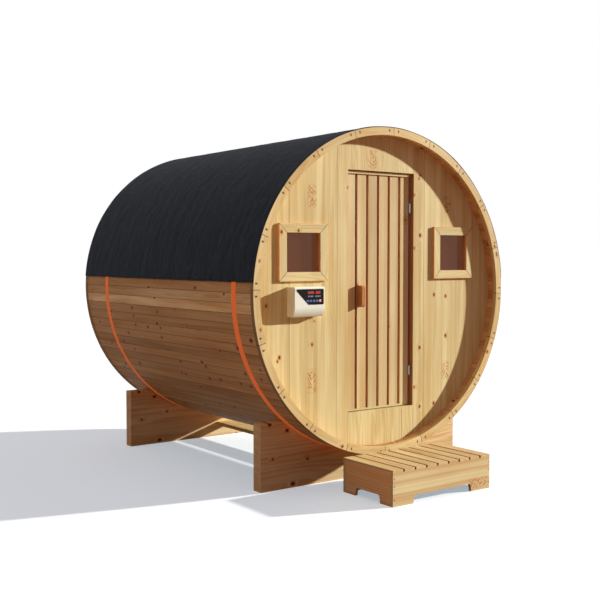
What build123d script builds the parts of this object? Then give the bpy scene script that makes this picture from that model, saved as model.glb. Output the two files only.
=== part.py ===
from build123d import *
import math
import os

# Barrel sauna: a barrel of wooden staves on two cradles, with a recessed end wall,
# a slatted door, two small windows, a felt roof and a loose step in front.
# Millimetres. The door faces -Y, +X is to the right of someone who faces the door, +Z is up.
# Every piece is drawn from the barrel's axis at the front ring's face, and moved once at the end,
# so that the origin lies on the ground below the middle of the whole.

# Staves
barrel_length = 2370.0      # over both end rings
barrel_bore = 1000.0        # from the axis to the flat inner face of a stave
stave_thickness = 44.0
stave_count = 104
stave_turn = 0.6            # degrees from the level on the left up to the first joint
stave_chamfer = 2.0
tongue_width = 14.0         # of the pointed tongue at its root
tongue_length = 8.0
tongue_clearance = 0.4
croze_depth = 12.0          # the groove across the staves that holds an end wall

# End rings, each of short curved blocks screwed to the stave ends
ring_thickness = 30.0
ring_width = 50.0
ring_proud = 6.0            # beyond the flat outer face of the staves
ring_blocks = 20
ring_turn = 1.8             # degrees from the top to the first joint
ring_joint = 0.8

# End walls
wall_recess = 80.0          # from the ring's face to the wall's face
wall_thickness = 42.0
wall_clearance = 0.3

# Doorway and its frame
doorway_width = 560.0
header_room = 125.7         # upright, from the frame's upper corner to the staves
sill_room = 130.7           # upright, from the frame's lower corner to the staves
frame_width = 45.0
stop_width = 18.0           # how far a stop covers the leaf's edge
stop_depth = 12.0
hinge_post_width = 16.0
hinge_post_inset = 25.0     # from the wall's face

# Door leaf
leaf_inset = 25.0           # from the wall's face to the slats' face
leaf_thickness = 38.0
slat_thickness = 17.0
slat_count = 6
slat_gap = 20.0
leaf_edge_gap = 5.0
leaf_hinge_gap = 8.0
top_rail_height = 17.0
top_rail_proud = 9.0
bottom_rail_height = 12.0
handle_width = 24.0
handle_reach = 51.0
handle_height = 137.0
handle_top = 41.0
handle_round = 14.0

# Hinges
hinge_height = 61.0
hinge_below_top = 224.0     # from the leaf's top edge to the upper hinge's middle
hinge_above_bottom = 232.0
hinge_plate = 3.0
hinge_jamb_plate_width = 15.0
hinge_door_plate_width = 34.0
knuckle_radius = 7.0
knuckle_gap = 0.4
pin_radius = 2.0
pin_clearance = 0.3

# Windows
window_width = 364.0        # over the casing
window_height = 350.0
window_place = 0.676        # where it stands beside the door, from 0 at the doorway to 1 at the staves
window_bottom = 77.0
casing_width = 55.0
casing_thickness = 17.0
mitre_gap = 0.4
glass_thickness = 14.0      # a sealed double pane
glass_rebate = 10.0
glass_clearance = 1.0
bead_width = 45.0
bead_thickness = 12.0

# Control box on the wall, centred under the left window
control_drop = 34.0         # from the window's casing down to the box
control_width = 229.0
control_height = 182.0
control_depth = 76.0
control_curve = 58.0        # height of the lower part of its front, which curves back
control_foot_depth = 53.0   # depth where that curve ends
control_round = 8.0
control_chamfer = 3.0
display_width = 214.0
display_height = 95.0
display_low_width = 115.0   # along its lower edge
display_inset_right = 9.0
display_inset_top = 13.0
display_round = 7.0
display_thickness = 1.2

# Floor
deck_drop = 0.3             # below the threshold
deck_thickness = 24.0
deck_boards = 11
deck_gap = 6.0
deck_end_gap = 10.0
bearer_count = 3
bearer_thickness = 44.0
bearer_end_cut = 44.0       # from the deck's edge to the bearer's end
floor_clearance = 0.3

# Roof felt and straps
felt_clearance = 0.3
felt_thickness = 4.7
felt_edge = 77.0            # height of its lower edges above the axis
strap_width = 48.0
strap_thickness = 2.0
strap_clearance = 0.3
front_strap_gap = 4.0       # from the strap back to the front cradle
rear_strap_gap = 24.0

# Cradles and the plank between them
cradle_inset = 250.0
cradle_thickness = 80.0
cradle_half_width = 833.0
cradle_height = 425.5
cradle_waist = 191.7        # wood left under the barrel
cradle_clearance = 0.3
plank_width = 120.0
plank_thickness = 28.0
plank_bottom = 86.5         # above the ground

# Step
step_gap = 27.0             # from the step's back board to the ring's face
step_depth = 461.0
step_left = -400.0
step_width = 814.0
step_height = 215.6
step_slats = 9
step_slat_gap = 10.0
step_slat_thickness = 15.0
step_board_thickness = 20.0
step_cut_height = 50.0
step_cut_slope = 9.0
step_cut_round = 15.0
step_front_foot = 162.0     # from the left end to the cut-out of the front board
step_side_foot = 114.0
edge_break = 1.5

# Worked out from the sizes above
stave_angle = 360.0 / stave_count
stave_outer = barrel_bore + stave_thickness
stave_corner = stave_outer / math.cos(math.radians(stave_angle / 2))
ring_outer = stave_outer + ring_proud
ring_inner = ring_outer - ring_width
saddle_radius = stave_corner + cradle_clearance
axis_height = cradle_waist + saddle_radius
ground = -axis_height
step_reach = step_gap + step_depth
origin_back = (barrel_length - step_reach) / 2
whole_place = Pos(0, -origin_back, axis_height)

wall_edge = barrel_bore + croze_depth - wall_clearance
wall_back = wall_recess + wall_thickness
doorway_right = doorway_width / 2
doorway_left = -doorway_right
frame_right = doorway_right + frame_width
frame_corner = math.sqrt(barrel_bore ** 2 - frame_right ** 2)
doorway_top = frame_corner - header_room - frame_width
doorway_bottom = sill_room + frame_width - frame_corner
post_face = wall_recess + hinge_post_inset
post_left = doorway_right - hinge_post_width
leaf_face = wall_recess + leaf_inset
leaf_back = leaf_face + leaf_thickness
leaf_left = doorway_left + leaf_edge_gap
leaf_right = post_left - leaf_hinge_gap
leaf_bottom = doorway_bottom + leaf_edge_gap
leaf_top = doorway_top - leaf_edge_gap
stop_face = leaf_back + leaf_edge_gap
frame_back = stop_face + stop_depth
hinge_x = (leaf_right + post_left) / 2
hinge_y = leaf_face - knuckle_radius
hinge_levels = (leaf_top - hinge_below_top, leaf_bottom + hinge_above_bottom)
window_top = window_bottom + window_height
window_middle_z = (window_bottom + window_top) / 2
staves_beside_window = math.sqrt(barrel_bore ** 2 - window_top ** 2)
window_free = staves_beside_window - doorway_right - window_width
window_middle_x = doorway_right + window_place * window_free + window_width / 2
control_left = -window_middle_x - control_width / 2
control_top = window_bottom - control_drop
control_bottom = control_top - control_height
control_front = wall_recess - control_depth
deck_top = doorway_bottom - frame_width - deck_drop
rear_cradle = barrel_length - cradle_inset - cradle_thickness


def block(x, y, z):
    """A box between two places along each axis."""
    size = [high - low for low, high in (x, y, z)]
    middle = [(high + low) / 2 for low, high in (x, y, z)]
    return Pos(*middle) * Box(*size)


def cut_out(outline, y):
    """A board lying across the barrel, sawn to an outline seen from the front."""
    placed = Plane.XZ.offset(-y[0]) * outline
    return extrude(placed, amount=y[1] - y[0], dir=(0, 1, 0))


def panel(x, z):
    """A rectangle seen from the front."""
    return Pos((x[0] + x[1]) / 2, (z[0] + z[1]) / 2) * Rectangle(x[1] - x[0], z[1] - z[0])


def rim_point(radius, angle):
    """A point seen from the front, turned clockwise from the top."""
    turn = math.radians(angle)
    return (radius * math.sin(turn), radius * math.cos(turn))


def arc_band(inner, outer, start, end, y):
    """A curved block between two angles, clockwise from the top."""
    middle = (start + end) / 2
    over = ThreePointArc(*[rim_point(outer, angle) for angle in (start, middle, end)])
    under = ThreePointArc(*[rim_point(inner, angle) for angle in (start, middle, end)])
    sides = [Line(over @ 0, under @ 0), Line(over @ 1, under @ 1)]
    return cut_out(make_face([over, under] + sides), y)


def save(name, *solids):
    """Write a piece, or a row of like pieces that don't touch, in its final place."""
    placed = [whole_place * solid for solid in solids]
    shape = placed[0] if len(placed) == 1 else Compound(children=placed)
    export_step(shape, f"parts/{name}.step")


# Staves: flat faces, a pointed tongue on one side and a groove on the other,
# and a croze cut across the inside near each end for the wall to sit in.
def stave_point(side, along, across):
    """A point on a stave's joint face, side -1 or 1, and how far past it towards +X."""
    turn = math.radians(stave_angle / 2)
    x = side * along * math.sin(turn) + across * math.cos(turn)
    z = along * math.cos(turn) - side * across * math.sin(turn)
    return (x, z)


def stave_section():
    middle = barrel_bore + stave_thickness / 2
    half_tongue = tongue_width / 2
    half_groove = half_tongue + tongue_clearance
    groove_depth = tongue_length + tongue_clearance
    turn = math.radians(stave_angle / 2)
    inner = barrel_bore / math.cos(turn)
    shoulder = stave_corner - stave_chamfer
    face_half = stave_outer * math.tan(turn) - stave_chamfer
    groove_side = [
        stave_point(-1, inner, 0),
        stave_point(-1, middle - half_groove, 0),
        stave_point(-1, middle, groove_depth),
        stave_point(-1, middle + half_groove, 0),
        stave_point(-1, shoulder, 0),
    ]
    tongue_side = [
        stave_point(1, shoulder, 0),
        stave_point(1, middle + half_tongue, 0),
        stave_point(1, middle, tongue_length),
        stave_point(1, middle - half_tongue, 0),
        stave_point(1, inner, 0),
    ]
    outer_face = [(-face_half, stave_outer), (face_half, stave_outer)]
    return make_face(Polyline(*groove_side, *outer_face, *tongue_side, close=True))


def make_stave():
    stave = cut_out(stave_section(), (ring_thickness, barrel_length - ring_thickness))
    reach = stave_outer * math.tan(math.radians(stave_angle))
    level = (barrel_bore - croze_depth, barrel_bore + croze_depth)
    for front in (wall_recess, barrel_length - wall_back):
        back = front + wall_thickness
        croze = block((-reach, reach), (front - wall_clearance, back + wall_clearance), level)
        stave -= croze
    return stave


def make_staves():
    stave = make_stave()
    rows = {"staves_odd": [], "staves_even": []}
    for number in range(stave_count):
        turn = stave_turn + (number + 0.5) * stave_angle - 90.0
        row = "staves_odd" if number % 2 else "staves_even"
        rows[row].append(Rot(0, turn, 0) * stave)
    for name, staves in rows.items():
        save(name, *staves)


# End rings
def make_ring(front):
    pitch = 360.0 / ring_blocks
    joint = math.degrees(ring_joint / ring_inner)
    blocks = []
    for number in range(ring_blocks):
        start = ring_turn + number * pitch + joint / 2
        end = start + pitch - joint
        blocks.append(arc_band(ring_inner, ring_outer, start, end, (front, front + ring_thickness)))
    return blocks


# End walls: the front one is in four parts round the doorway, with a window in each side part.
def window_hole(side, edge=0.0):
    """The window's opening, or its glass when an edge is added."""
    width = window_width - 2 * casing_width + 2 * edge
    height = window_height - 2 * casing_width + 2 * edge
    return Pos(side * window_middle_x, window_middle_z) * Rectangle(width, height)


def make_front_wall():
    disc = Circle(wall_edge)
    depth = (wall_recess, wall_back)
    glass_front = wall_back - glass_thickness
    for name, side in (("front_wall_left", -1), ("front_wall_right", 1)):
        part = panel(sorted((side * doorway_right, side * wall_edge)), (-wall_edge, wall_edge))
        wall = cut_out((disc & part) - window_hole(side), depth)
        pocket = window_hole(side, glass_rebate + glass_clearance)
        wall -= cut_out(pocket, (glass_front, wall_back))
        save(name, wall)
    over = panel((doorway_left, doorway_right), (doorway_top, wall_edge))
    under = panel((doorway_left, doorway_right), (-wall_edge, doorway_bottom))
    save("front_wall_header", cut_out(disc & over, depth))
    save("front_wall_sill", cut_out(disc & under, depth))


def make_back_wall():
    depth = (barrel_length - wall_back, barrel_length - wall_recess)
    save("back_wall", cut_out(Circle(wall_edge), depth))


# Windows: a mitred casing outside, the pane in a rebate and a mitred bead inside.
def mitred_frame(side, width, height, member, y):
    """Four members with a fine gap at the mitres."""
    middle = Pos(side * window_middle_x, window_middle_z)
    members = []
    for quarter in range(4):
        along, across = (width, height) if quarter % 2 == 0 else (height, width)
        outer = along / 2 - mitre_gap
        inner = outer - member
        level = across / 2
        low = level - member
        outline = Polyline((-outer, level), (outer, level), (inner, low), (-inner, low), close=True)
        members.append(cut_out(middle * Rot(0, 0, 90 * quarter) * make_face(outline), y))
    return members


def make_windows():
    bead_outer_width = window_width - 2 * casing_width + 2 * bead_width
    bead_outer_height = window_height - 2 * casing_width + 2 * bead_width
    casing_depth = (wall_recess - casing_thickness, wall_recess)
    glass_depth = (wall_back - glass_thickness, wall_back)
    bead_depth = (wall_back, wall_back + bead_thickness)
    for name, side in (("left", -1), ("right", 1)):
        casing = mitred_frame(side, window_width, window_height, casing_width, casing_depth)
        bead = mitred_frame(side, bead_outer_width, bead_outer_height, bead_width, bead_depth)
        save(f"window_frame_{name}", *casing)
        save(f"window_glass_{name}", cut_out(window_hole(side, glass_rebate), glass_depth))
        save(f"window_bead_{name}", *bead)


# Door frame behind the wall, with stops, and the post that carries the hinges
def make_door_frame():
    stop = (stop_face, frame_back)
    depth = (wall_back, frame_back)
    height = (doorway_bottom - frame_width, doorway_top + frame_width)
    left = block((doorway_left - frame_width, doorway_left), depth, height)
    left += block((doorway_left, doorway_left + stop_width), stop, height)
    save("door_jamb_left", left)
    right = block((doorway_right, doorway_right + frame_width), depth, height)
    right += block((post_left, doorway_right), (post_face, frame_back), (doorway_bottom, doorway_top))
    save("door_jamb_right", right)
    between = (doorway_left + stop_width, post_left)
    head = block((doorway_left + stop_width, doorway_right), depth, (doorway_top, height[1]))
    head += block(between, stop, (doorway_top - stop_width, doorway_top))
    save("door_head", head)
    threshold = block((doorway_left + stop_width, doorway_right), depth, (height[0], doorway_bottom))
    threshold += block(between, stop, (doorway_bottom, doorway_bottom + stop_width))
    save("door_threshold", threshold)


# Door leaf: slats on a backing, between a proud top rail and a flush bottom rail
def make_leaf():
    width = (leaf_left, leaf_right)
    backing_face = leaf_face + slat_thickness
    save("door_backing", block(width, (backing_face, leaf_back), (leaf_bottom, leaf_top)))
    height = (leaf_bottom + bottom_rail_height, leaf_top - top_rail_height)
    top_depth = (leaf_face - top_rail_proud, backing_face)
    save("door_top_rail", block(width, top_depth, (height[1], leaf_top)))
    save("door_bottom_rail", block(width, (leaf_face, backing_face), (leaf_bottom, height[0])))
    slat_width = (leaf_right - leaf_left - (slat_count - 1) * slat_gap) / slat_count
    slats = []
    for number in range(slat_count):
        start = leaf_left + number * (slat_width + slat_gap)
        slats.append(block((start, start + slat_width), (leaf_face, backing_face), height))
    save("door_slats", *slats)
    handle_left = leaf_left + slat_width + slat_gap
    handle = block((handle_left, handle_left + handle_width), (leaf_face - handle_reach, leaf_face),
                   (handle_top - handle_height, handle_top))
    front_ends = handle.edges().filter_by(Axis.X).sort_by(Axis.Y)[:2]
    save("door_handle", fillet(front_ends, handle_round))


# Hinges: a jamb leaf with the pin and two outer knuckles, a door leaf with the middle knuckle
def knuckle(radius, z):
    return Pos(hinge_x, hinge_y, (z[0] + z[1]) / 2) * Cylinder(radius, z[1] - z[0])


def make_hinges():
    third = hinge_height / 3
    notch = knuckle_radius + 2 * knuckle_gap
    jamb_leaves = []
    door_leaves = []
    for level in hinge_levels:
        low = level - hinge_height / 2
        high = level + hinge_height / 2
        middle = (low + third, high - third)
        plate_y = (post_face - hinge_plate, post_face)
        post_plate = block((post_left, post_left + hinge_jamb_plate_width), plate_y, (low, high))
        post_plate -= knuckle(notch, (middle[0] - knuckle_gap, middle[1] + knuckle_gap))
        jamb_leaf = post_plate + knuckle(pin_radius, (low, high))
        for z in ((low, middle[0] - knuckle_gap), (middle[1] + knuckle_gap, high)):
            web = block((hinge_x, post_left), plate_y, z)
            jamb_leaf += knuckle(knuckle_radius, z) + web
        jamb_leaves.append(jamb_leaf)
        plate_x = (leaf_right, leaf_right + hinge_plate)
        door_plate = block(plate_x, (hinge_y, leaf_face + hinge_door_plate_width), (low, high))
        for z in ((low, middle[0] - knuckle_gap), (middle[1] + knuckle_gap, high)):
            door_plate -= knuckle(notch, (z[0] - knuckle_gap, z[1] + knuckle_gap))
        door_leaf = door_plate + knuckle(knuckle_radius, middle)
        door_leaves.append(door_leaf - knuckle(pin_radius + pin_clearance, (low, high)))
    save("hinge_jamb_leaves", *jamb_leaves)
    save("hinge_door_leaves", *door_leaves)


# Control box: a moulded case with an upright front that curves back towards its foot
def make_control_box():
    flat_end = control_bottom + control_curve
    foot = wall_recess - control_foot_depth
    front = Line((control_front, control_top), (control_front, flat_end))
    curve = TangentArc((control_front, flat_end), (foot, control_bottom), tangent=(0, -1))
    back = Polyline((foot, control_bottom), (wall_recess, control_bottom),
                    (wall_recess, control_top), (control_front, control_top))
    profile = make_face([front, curve, back])
    front_corners = profile.vertices().filter_by_position(Axis.X, control_front - 1, foot + 1).sort_by(Axis.Y)
    profile = fillet([front_corners[0], front_corners[-1]], control_round)
    case = extrude(Plane.YZ.offset(control_left) * profile, amount=control_width, dir=(1, 0, 0))
    ends = case.faces().filter_by(Axis.X).edges()
    front_edges = ends - ends.filter_by_position(Axis.Y, wall_recess - 1, wall_recess + 1)
    save("control_box", chamfer(front_edges, control_chamfer))

    right = control_left + control_width - display_inset_right
    top = control_top - display_inset_top
    bottom = top - display_height
    outline = make_face(Polyline((right - display_width, top), (right, top), (right, bottom),
                                 (right - display_low_width, bottom), close=True))
    plate = fillet(outline.vertices(), display_round)
    save("control_display", cut_out(plate, (control_front - display_thickness, control_front)))


# Floor: boards along the barrel on curved bearers
def make_floor():
    deck_under = deck_top - deck_thickness
    half_width = math.sqrt(barrel_bore ** 2 - deck_under ** 2) - floor_clearance
    board_width = (2 * half_width - (deck_boards - 1) * deck_gap) / deck_boards
    deck_y = (wall_back + floor_clearance, barrel_length - wall_back - floor_clearance)
    boards = []
    for number in range(deck_boards):
        start = -half_width + number * (board_width + deck_gap)
        boards.append(block((start, start + board_width), deck_y, (deck_top - deck_thickness, deck_top)))
    save("floor_boards", *boards)

    round_bottom = Circle(barrel_bore - floor_clearance)
    bearer_end = half_width - bearer_end_cut
    outline = round_bottom & panel((-bearer_end, bearer_end), (-barrel_bore, deck_under))
    first = deck_y[0] + deck_end_gap
    last = deck_y[1] - deck_end_gap - bearer_thickness
    spacing = (last - first) / (bearer_count - 1)
    bearers = [cut_out(outline, (first + number * spacing, first + number * spacing + bearer_thickness))
               for number in range(bearer_count)]
    save("floor_bearers", *bearers)


# Roof felt from side to side over the rings, and a strap round the staves at each cradle
def make_felt_and_straps():
    inner = ring_outer + felt_clearance
    end = math.degrees(math.acos(felt_edge / (inner + felt_thickness)))
    save("roof_felt", arc_band(inner, inner + felt_thickness, -end, end, (0, barrel_length)))
    strap_inner = stave_outer + strap_clearance
    outside, inside = [
        RegularPolygon(reach, stave_count, major_radius=False, rotation=180.0 - stave_turn, align=None)
        for reach in (strap_inner + strap_thickness, strap_inner)]
    front_start = cradle_inset - front_strap_gap - strap_width
    rear_start = rear_cradle - rear_strap_gap - strap_width
    for name, front in (("strap_front", front_start), ("strap_rear", rear_start)):
        save(name, cut_out(outside - inside, (front, front + strap_width)))


# Cradles with a round saddle, and the plank that ties them
def make_cradles():
    width = (-cradle_half_width, cradle_half_width)
    outline = panel(width, (ground, ground + cradle_height)) - Circle(saddle_radius)
    for name, front in (("cradle_front", cradle_inset), ("cradle_rear", rear_cradle)):
        cradle = cut_out(outline, (front, front + cradle_thickness))
        save(name, cradle)
    plank_z = (ground + plank_bottom, ground + plank_bottom + plank_thickness)
    plank_y = (cradle_inset + cradle_thickness, rear_cradle)
    save("cradle_plank", block((-plank_width / 2, plank_width / 2), plank_y, plank_z))


# Step: slats laid over four boards on edge, each with a shallow cut-out at the ground
def foot_cut(start, end):
    """The cut-out's outline, from one foot to the other, at the ground."""
    top = ground + step_cut_height
    outline = make_face(Polyline((start, ground), (start + step_cut_slope, top),
                                 (end - step_cut_slope, top), (end, ground), close=True))
    return fillet(outline.vertices().group_by(Axis.Y)[-1], step_cut_round)


def make_step():
    front = -step_reach
    right = step_left + step_width
    top = ground + step_height
    board_top = top - step_slat_thickness
    height = (ground, board_top)
    front_cut = foot_cut(step_left + step_front_foot, right - step_front_foot)
    front_outline = panel((step_left, right), height) - front_cut
    save("step_front_board", cut_out(front_outline, (front, front + step_board_thickness)))
    save("step_back_board", cut_out(front_outline, (-step_gap - step_board_thickness, -step_gap)))
    side_y = (front + step_board_thickness, -step_gap - step_board_thickness)
    side_outline = panel(side_y, height) - foot_cut(front + step_side_foot, -step_gap - step_side_foot)
    for name, x in (("step_left_board", step_left), ("step_right_board", right - step_board_thickness)):
        face = Plane.YZ.offset(x) * side_outline
        save(name, extrude(face, amount=step_board_thickness, dir=(1, 0, 0)))
    slat_width = (step_width - (step_slats - 1) * step_slat_gap) / step_slats
    slats = []
    for number in range(step_slats):
        start = step_left + number * (slat_width + step_slat_gap)
        slat = block((start, start + slat_width), (front, -step_gap), (board_top, top))
        top_edges = slat.edges().filter_by(Axis.Y).sort_by(Axis.Z)[-2:]
        slats.append(chamfer(top_edges, edge_break))
    save("step_slats", *slats)


os.makedirs("parts", exist_ok=True)
make_staves()
save("ring_front", *make_ring(0.0))
save("ring_back", *make_ring(barrel_length - ring_thickness))
make_front_wall()
make_back_wall()
make_windows()
make_door_frame()
make_leaf()
make_hinges()
make_control_box()
make_floor()
make_felt_and_straps()
make_cradles()
make_step()
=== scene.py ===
import math

import bmesh
import bpy
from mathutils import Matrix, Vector, noise


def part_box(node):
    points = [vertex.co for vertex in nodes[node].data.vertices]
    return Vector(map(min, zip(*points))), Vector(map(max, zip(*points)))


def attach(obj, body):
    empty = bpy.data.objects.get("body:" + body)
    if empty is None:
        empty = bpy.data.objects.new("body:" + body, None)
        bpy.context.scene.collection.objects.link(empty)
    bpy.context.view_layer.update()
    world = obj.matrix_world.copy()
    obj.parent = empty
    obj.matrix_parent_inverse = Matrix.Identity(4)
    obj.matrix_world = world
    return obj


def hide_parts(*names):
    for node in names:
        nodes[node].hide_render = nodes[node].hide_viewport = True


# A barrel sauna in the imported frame, in metres. The door faces -Y, +X is to the right of someone
# who faces it, and the barrel's axis runs along Y at the height barrel_axis.

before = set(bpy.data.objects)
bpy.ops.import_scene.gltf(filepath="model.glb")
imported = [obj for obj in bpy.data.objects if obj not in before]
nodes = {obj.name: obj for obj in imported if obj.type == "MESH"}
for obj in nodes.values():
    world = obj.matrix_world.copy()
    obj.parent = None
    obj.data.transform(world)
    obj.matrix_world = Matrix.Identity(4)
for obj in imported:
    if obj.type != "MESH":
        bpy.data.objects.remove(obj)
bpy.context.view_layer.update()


# Cradles and the plank between them
# Two thick boards on edge, glued up from wide planks and sawn to the barrel's round, tied by a plank
# that is screwed between them. Planed pine with the grain lying level, left bare.

class Value:
    """A shader socket that is used in sums like a number."""

    def __init__(self, finish, socket):
        self.finish = finish
        self.socket = socket

    def __add__(self, other):
        return self.finish.maths("ADD", self, other)

    def __radd__(self, other):
        return self.finish.maths("ADD", other, self)

    def __sub__(self, other):
        return self.finish.maths("SUBTRACT", self, other)

    def __rsub__(self, other):
        return self.finish.maths("SUBTRACT", other, self)

    def __mul__(self, other):
        return self.finish.maths("MULTIPLY", self, other)

    def __rmul__(self, other):
        return self.finish.maths("MULTIPLY", other, self)

    def __truediv__(self, other):
        return self.finish.maths("DIVIDE", self, other)

    def __rtruediv__(self, other):
        return self.finish.maths("DIVIDE", other, self)

    def __gt__(self, other):
        return self.finish.maths("GREATER_THAN", self, other)

    def __lt__(self, other):
        return self.finish.maths("LESS_THAN", self, other)

    def __abs__(self):
        return self.finish.maths("ABSOLUTE", self)

    def split(self):
        """Its three parts, where it is a place or a colour."""
        made = self.finish.tree.nodes.new("ShaderNodeSeparateXYZ")
        self.finish.tree.links.new(self.socket, made.inputs[0])
        return [Value(self.finish, output) for output in made.outputs]

    def beside(self, output):
        """Another output of the same node."""
        return Value(self.finish, found(self.socket.node.outputs, output))


def found(sockets, key):
    """A node's socket by its number, its identifier or its name."""
    if isinstance(key, int):
        return sockets[key]
    named = [s for s in sockets if s.identifier == key] + [s for s in sockets if s.name == key]
    return named[0]


def shade(red, green, blue):
    """A colour as it looks on a screen, from 0 to 255, for a shader's socket."""
    parts = [c / 255.0 for c in (red, green, blue)]
    linear = [c / 12.92 if c <= 0.04045 else ((c + 0.055) / 1.055) ** 2.4 for c in parts]
    return (*linear, 1.0)


class Finish:
    """A material, its main shader and the nodes that lead to it."""

    def __init__(self, name, **constants):
        self.material = bpy.data.materials.new(name)
        self.material.use_nodes = True
        self.tree = self.material.node_tree
        self.tree.nodes.clear()
        self.shader = self.node("BsdfPrincipled")
        self.surface(**constants)
        self.output = self.node("OutputMaterial", sockets={"Surface": self.shader}, out=None)
        self.x, self.y, self.z = self.node("TexCoord", out="Object").split()

    def node(self, kind, settings=None, sockets=None, out=0):
        """A node with its settings, and then the values or links of its sockets."""
        made = self.tree.nodes.new("ShaderNode" + kind)
        for setting, value in (settings or {}).items():
            if setting == "stops":
                self.stops(made.color_ramp, value)
            else:
                setattr(made, setting, value)
        for key, value in (sockets or {}).items():
            self.put(found(made.inputs, key), value)
        return made if out is None else Value(self, found(made.outputs, out))

    def put(self, socket, value):
        """A link where the value is another node's socket, and else the value itself."""
        if isinstance(value, Value):
            self.tree.links.new(value.socket, socket)
        else:
            socket.default_value = value

    def stops(self, ramp, stops):
        """A colour ramp's stops, each a place and a colour."""
        while len(ramp.elements) < len(stops):
            ramp.elements.new(1.0)
        for element, (place, colour) in zip(ramp.elements, stops):
            element.position = place
            element.color = colour

    def surface(self, **values):
        """Values or links of the main shader's sockets, by name, with _ for a space."""
        for key, value in values.items():
            self.put(found(self.shader.socket.node.inputs, key.replace("_", " ")), value)

    def maths(self, operation, *terms):
        return self.node("Math", {"operation": operation}, dict(enumerate(terms)))

    def distance(self, one, other):
        """How far two steps at right angles to each other lead."""
        return self.maths("SQRT", one * one + other * other)

    def smooth(self, low, high, value):
        """From 0 at low to 1 at high, with a soft start and end."""
        sockets = {"Value": value, "From Min": low, "From Max": high}
        return self.node("MapRange", {"interpolation_type": "SMOOTHSTEP"}, sockets)

    def vector(self, x, y, z):
        return self.node("CombineXYZ", sockets={0: x, 1: y, 2: z})

    def noise(self, x, y, z, other=0.0, detail=1.0):
        """Soft noise from 0 to 1. A change in other gives another pattern."""
        sockets = {"Vector": self.vector(x, y, z), "W": other, "Scale": 1.0, "Detail": detail}
        return self.node("TexNoise", {"noise_dimensions": "4D"}, sockets)

    def grain(self, scale, detail=1.0):
        """Soft noise that is as fine in every direction."""
        return self.noise(self.x * scale, self.y * scale, self.z * scale, 0.0, detail)

    def chance(self, number):
        """Three numbers from 0 to 1 that belong to a board or block."""
        made = self.node("TexWhiteNoise", {"noise_dimensions": "1D"}, {"W": number}, "Color")
        return made.split()

    def mix(self, share, first, second, blend="MIX"):
        """A colour between two others."""
        sockets = {"Factor_Float": share, "A_Color": first, "B_Color": second}
        settings = {"data_type": "RGBA", "blend_type": blend, "clamp_factor": True}
        return self.node("Mix", settings, sockets, "Result_Color")

    def scaled(self, colour, amount):
        """A colour made lighter or darker."""
        return self.node("VectorMath", {"operation": "SCALE"}, {0: colour, "Scale": amount})

    def bump(self, height, strength, distance):
        """The surface's slope from a height."""
        sockets = {"Height": height, "Strength": strength, "Distance": distance}
        return self.node("Bump", sockets=sockets)


def cells(finish, value, start, width):
    """The number of a board in a row of equal boards, and the place across it from its middle."""
    steps = (value - start) / width
    number = finish.maths("FLOOR", steps)
    return number, (steps - number - 0.5) * width


def strewn_knots(finish, along, across, board, share):
    """Distance to the edge of the nearest of some knots strewn over the boards."""
    spacing_across = 0.085
    spacing_along = 0.34
    least_radius = 0.0026
    radius_range = 0.0050
    shortening = 0.75
    spot = finish.vector(across / spacing_across + board * 3.71, along / spacing_along + board * 1.93, 0.0)
    sockets = {"Vector": spot, "Scale": 1.0, "Randomness": 1.0}
    cell = finish.node("TexVoronoi", {"voronoi_dimensions": "2D"}, sockets, "Position")
    size, luck, _ = cell.beside("Color").split()
    side, length, _ = finish.node("VectorMath", {"operation": "SUBTRACT"}, {0: spot, 1: cell}).split()
    reach = finish.distance(side * spacing_across, length * (spacing_along * shortening))
    absent = luck > share
    return reach - (size * radius_range + least_radius) + absent * 1.0


def placed_knots(finish, along, across, knots):
    """Distance to the edge of the nearest of the knots in a list of (across, along, radius)."""
    shortening = 0.78
    nearest = 1.0
    for place_across, place_along, radius in knots:
        reach = finish.distance(across - place_across, (along - place_along) * shortening)
        nearest = finish.maths("MINIMUM", reach - radius, nearest)
    return nearest


def crowns(finish, along, across, places):
    """Nested points where the saw passed the crown of the rings, for (across, along, half height, way)."""
    lines_a_metre = 33.0
    slope = 1.2
    half_width = 0.042
    full_within = 0.020
    shown = 0.0
    warp = (finish.noise(across * 30.0, along * 17.0, 0.0, 3.0, 2.0) - 0.5) * 2.8
    broken = finish.smooth(0.36, 0.52, finish.noise(across * 42.0, along * 26.0, 0.0, 8.0))
    for place_across, place_along, half_height, way in places:
        side = abs(across - place_across)
        length = along - place_along
        part = finish.maths("FRACT", (length * way + side * slope) * lines_a_metre + warp)
        lines = finish.smooth(0.30, 0.60, part) * finish.smooth(1.0, 0.85, part)
        ends = finish.smooth(half_height, half_height * 0.7, abs(length) + warp * 0.004)
        shown = shown + lines * finish.smooth(half_width, full_within, side) * ends * broken
    return shown


knot_rim = shade(188, 106, 48)
knot_heart = shade(62, 24, 8)
crown_line = shade(186, 118, 58)
# The dark of joints, also used for painted shade in countersinks and gaps.
joint_dirt = shade(78, 46, 26)
# A warm orange for painted bounce light on faces turned from the sun.
painted_bounce_tone = shade(240, 166, 104)


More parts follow.
